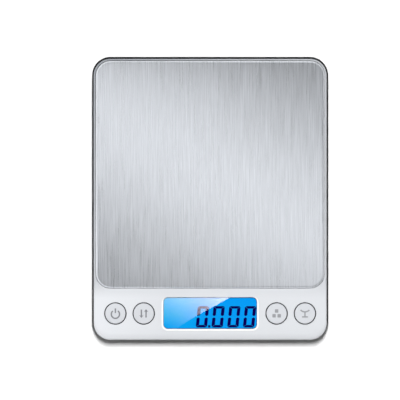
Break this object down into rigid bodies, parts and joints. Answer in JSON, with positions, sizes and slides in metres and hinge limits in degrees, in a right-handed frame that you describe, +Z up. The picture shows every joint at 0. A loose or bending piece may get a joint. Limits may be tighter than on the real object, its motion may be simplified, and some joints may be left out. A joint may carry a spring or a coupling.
{
  "type": "digital gram scale",
  "caption": "Low flat digital gram scale: a square brushed-steel weighing pan behind a control panel with a lit number display and round push keys.",
  "frame": {"origin": "centre of the footprint, on the bench under the feet", "axes": "+X to the user's right, -Y towards the user and the display, +Z up"},
  "size_m": [0.106, 0.127, 0.019],
  "materials": {
    "brushed_steel": "brushed along the length, satin",
    "silver_plastic": "silver painted, satin",
    "black_plastic": "fine texture",
    "white_plastic": "smooth",
    "rubber": "matte",
    "clear_acrylic": "clear, polished",
    "lcd_glass": "blue backlit panel",
    "light_guide": "smooth",
    "circuit_board": "green solder mask",
    "aluminium": "machined",
    "zinc_steel": "zinc plated",
    "nickel": "nickel plated",
    "cell_jacket": "printed foil jacket, no lettering",
    "black_epoxy": "smooth",
    "silicone": "smooth",
    "foam_tape": "matte",
    "red_wire": "smooth",
    "black_wire": "smooth",
    "grey_cable": "smooth"
  },
  "bodies": {
    "base": {"lower_shell": "black_plastic", "upper_housing": "silver_plastic", "load_cell_beam": "aluminium", "load_cell_base_spacer": "zinc_steel", "strain_gauge_cover_top": "silicone", "strain_gauge_cover_under": "silicone", "load_cell_base_screw_1": "zinc_steel", "load_cell_base_screw_2": "zinc_steel", "overload_stop_screw": "zinc_steel", "display_window": "clear_acrylic", "lcd_glass": "lcd_glass", "lcd_holder": "white_plastic", "backlight_guide": "light_guide", "backlight_led": "white_plastic", "zebra_connector": "silicone", "main_pcb": "circuit_board", "controller_chip": "black_epoxy", "converter_chip": "black_epoxy", "battery_front": "cell_jacket", "battery_back": "cell_jacket", "battery_contact_bridge": "nickel", "battery_contact_negative": "nickel", "battery_contact_positive": "nickel", "battery_spring_front": "nickel", "battery_spring_back": "nickel", "load_cell_cable": "grey_cable", "battery_lead_red": "red_wire", "battery_lead_black": "black_wire", "tact_switch_power": "black_epoxy", "tact_switch_mode": "black_epoxy", "tact_switch_pieces": "black_epoxy", "tact_switch_tare": "black_epoxy", "pcb_screw_1": "zinc_steel", "pcb_screw_2": "zinc_steel", "pcb_screw_3": "zinc_steel", "case_screw_1": "zinc_steel", "case_screw_2": "zinc_steel", "case_screw_3": "zinc_steel", "case_screw_4": "zinc_steel", "foot_front_left": "rubber", "foot_front_right": "rubber", "foot_back_left": "rubber", "foot_back_right": "rubber"},
    "platform": {"platform_pan": "brushed_steel", "platform_carrier": "black_plastic", "pan_adhesive_sheet": "foam_tape", "load_cell_platform_spacer": "zinc_steel", "platform_screw_1": "zinc_steel", "platform_screw_2": "zinc_steel"},
    "key_power": {"button_power": "silver_plastic", "switch_plunger_power": "black_plastic"},
    "key_mode": {"button_mode": "silver_plastic", "switch_plunger_mode": "black_plastic"},
    "key_pieces": {"button_pieces": "silver_plastic", "switch_plunger_pieces": "black_plastic"},
    "key_tare": {"button_tare": "silver_plastic", "switch_plunger_tare": "black_plastic"},
    "door": {"battery_door": "black_plastic"}
  },
  "joints": [
    {"name": "platform_deflection", "type": "slide", "parent": "base", "child": "platform", "axis": [0, 0, -1], "range_m": [0, 0.0005], "stiffness_N_per_m": 20000, "springref_m": -0.00004, "deforming": ["load_cell_beam"]},
    {"name": "power_press", "type": "slide", "parent": "base", "child": "key_power", "axis": [0, 0, -1], "range_m": [0, 0.0004], "stiffness_N_per_m": 4000},
    {"name": "mode_press", "type": "slide", "parent": "base", "child": "key_mode", "axis": [0, 0, -1], "range_m": [0, 0.0004], "stiffness_N_per_m": 4000},
    {"name": "pieces_press", "type": "slide", "parent": "base", "child": "key_pieces", "axis": [0, 0, -1], "range_m": [0, 0.0004], "stiffness_N_per_m": 4000},
    {"name": "tare_press", "type": "slide", "parent": "base", "child": "key_tare", "axis": [0, 0, -1], "range_m": [0, 0.0004], "stiffness_N_per_m": 4000},
    {"name": "battery_door_hinge", "type": "hinge", "parent": "base", "child": "door", "pos_m": [0, 0.0512, 0.001], "axis": [1, 0, 0], "range_deg": [0, 75]}
  ]
}
